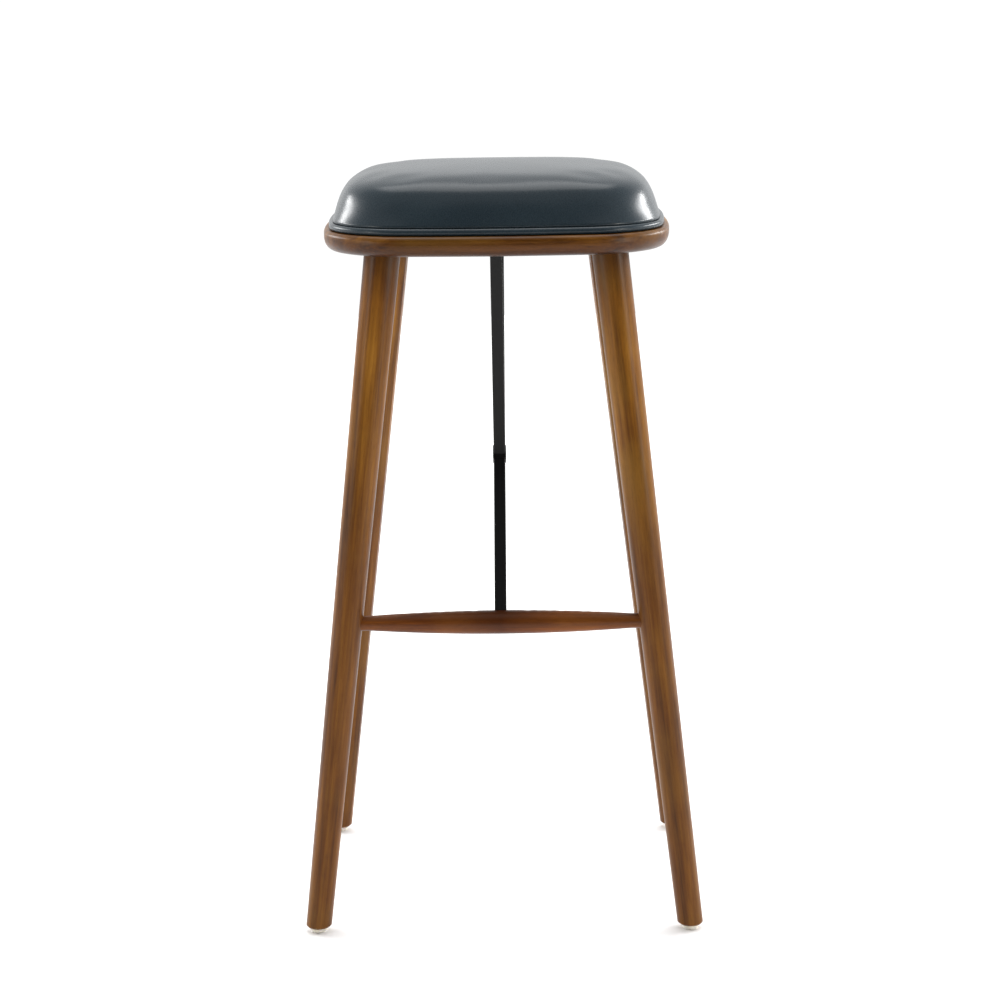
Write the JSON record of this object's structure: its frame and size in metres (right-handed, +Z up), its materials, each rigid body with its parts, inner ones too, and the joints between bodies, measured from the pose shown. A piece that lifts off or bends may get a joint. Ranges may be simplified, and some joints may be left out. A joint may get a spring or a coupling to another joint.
{
  "type": "bar stool",
  "caption": "Backless bar stool: splayed turned wooden legs, bullnosed wooden seat with a domed leather cushion and welt, spindle footrest and a slim black steel brace.",
  "frame": {"origin": "on the floor, under the middle of the seat", "axes": "+Z up; -Y towards the front, the side with the footrest; +X to the right seen from the front"},
  "size_m": [0.4058, 0.35, 0.77],
  "materials": {
    "walnut_stained_wood": "satin",
    "birch_plywood": "matte",
    "seat_foam": "matte",
    "navy_leather": "satin",
    "cotton_cord": "matte",
    "zinc_steel": "satin",
    "black_zinc": "satin",
    "black_powder_coat": "satin",
    "white_nylon": "matte"
  },
  "bodies": {
    "root": {"brace_front_arm": "black_powder_coat", "brace_front_plate": "black_powder_coat", "brace_long_bar": "black_powder_coat", "brace_plate_screws": "black_zinc", "brace_rear_plate": "black_powder_coat", "brace_set_screw": "black_zinc", "brace_sleeve": "black_powder_coat", "cover_staples": "zinc_steel", "cushion_board": "birch_plywood", "cushion_cover": "navy_leather", "cushion_foam": "seat_foam", "cushion_screw_washers": "black_zinc", "cushion_screws": "black_zinc", "cushion_welt": "navy_leather", "footrest": "walnut_stained_wood", "glide_front_left": "white_nylon", "glide_front_right": "white_nylon", "glide_nails": "zinc_steel", "glide_rear_left": "white_nylon", "glide_rear_right": "white_nylon", "leg_bolt_washers": "zinc_steel", "leg_bolts": "zinc_steel", "leg_front_left": "walnut_stained_wood", "leg_front_right": "walnut_stained_wood", "leg_inserts": "zinc_steel", "leg_rear_left": "walnut_stained_wood", "leg_rear_right": "walnut_stained_wood", "seat_base": "walnut_stained_wood", "tee_nuts": "zinc_steel", "welt_cord": "cotton_cord"}
  },
  "joints": []
}
